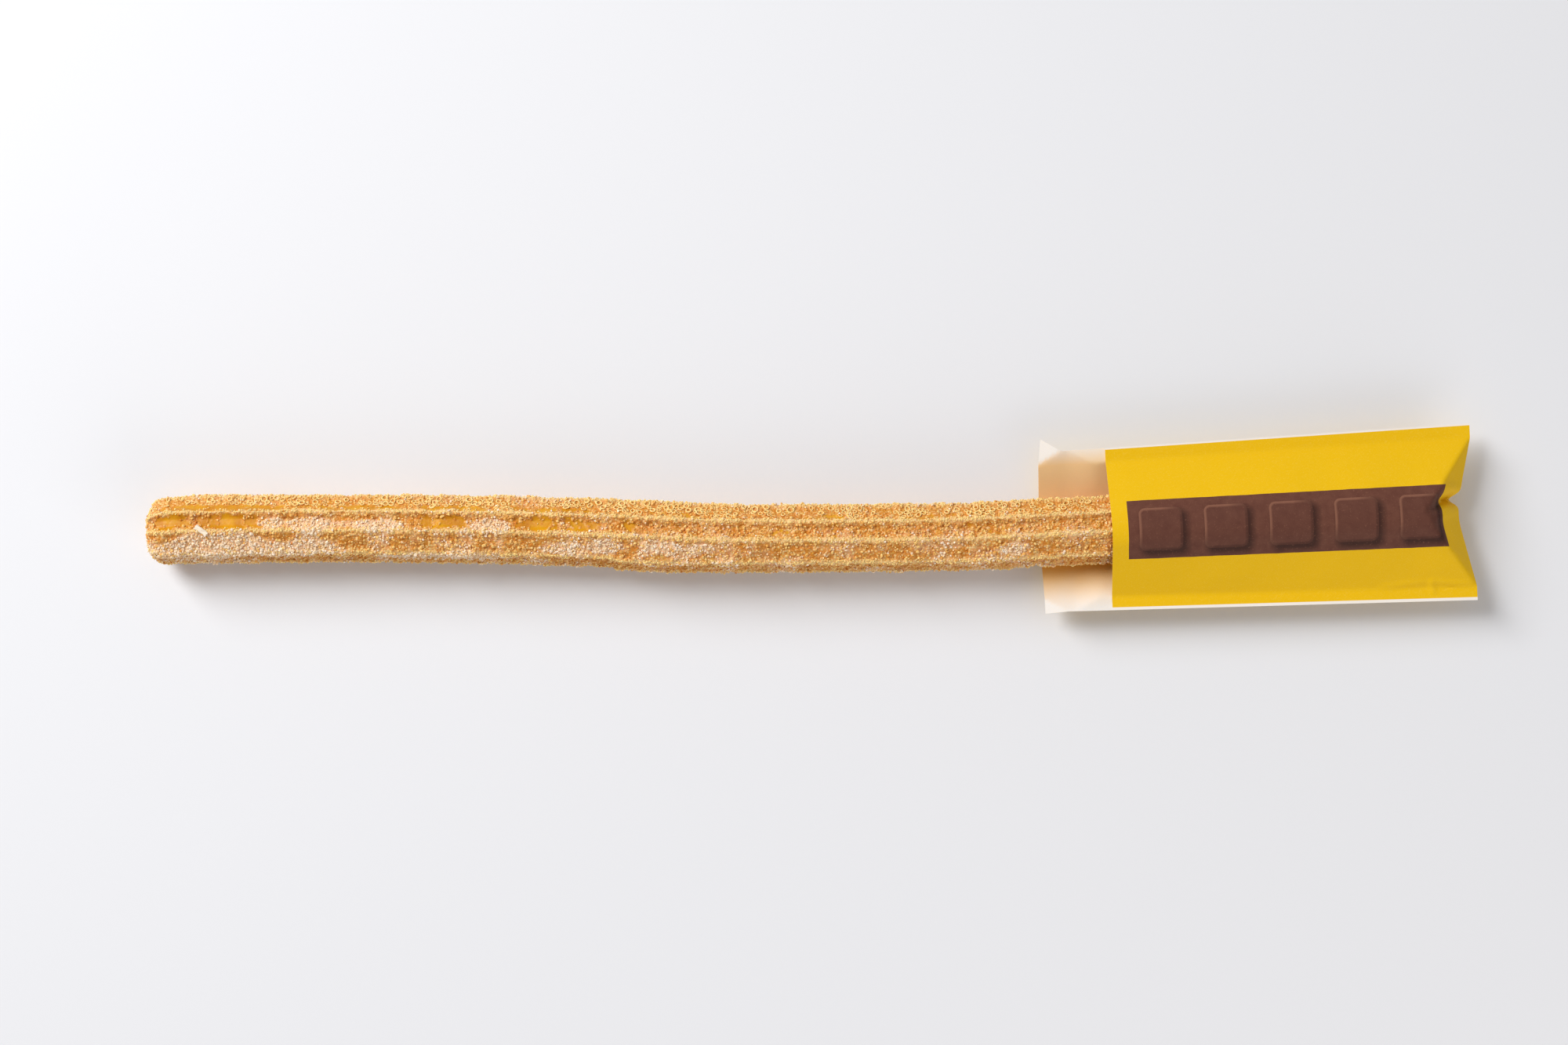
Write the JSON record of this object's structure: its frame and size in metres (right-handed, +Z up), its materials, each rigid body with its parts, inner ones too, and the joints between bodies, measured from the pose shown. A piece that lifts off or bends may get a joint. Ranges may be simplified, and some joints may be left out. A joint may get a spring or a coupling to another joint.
{
  "type": "sugared churro in a paper sleeve",
  "caption": "Long straight churro of ridged star section, coated in sugar, with one end tucked into a flat paper sleeve that serves as its holder.",
  "frame": {"origin": "middle of the object's footprint, on the surface that it lies on", "axes": "+X along the churro from its bare end towards the paper sleeve, +Z up, +Y across"},
  "size_m": [0.4406, 0.0624, 0.024],
  "materials": {
    "sugared_dough": "rough fried dough with a crust of sugar",
    "printed_paper": "uncoated white paper, printed yellow outside with a brown band"
  },
  "bodies": {
    "root": {"churro": "sugared_dough", "sleeve": "printed_paper"}
  },
  "joints": []
}
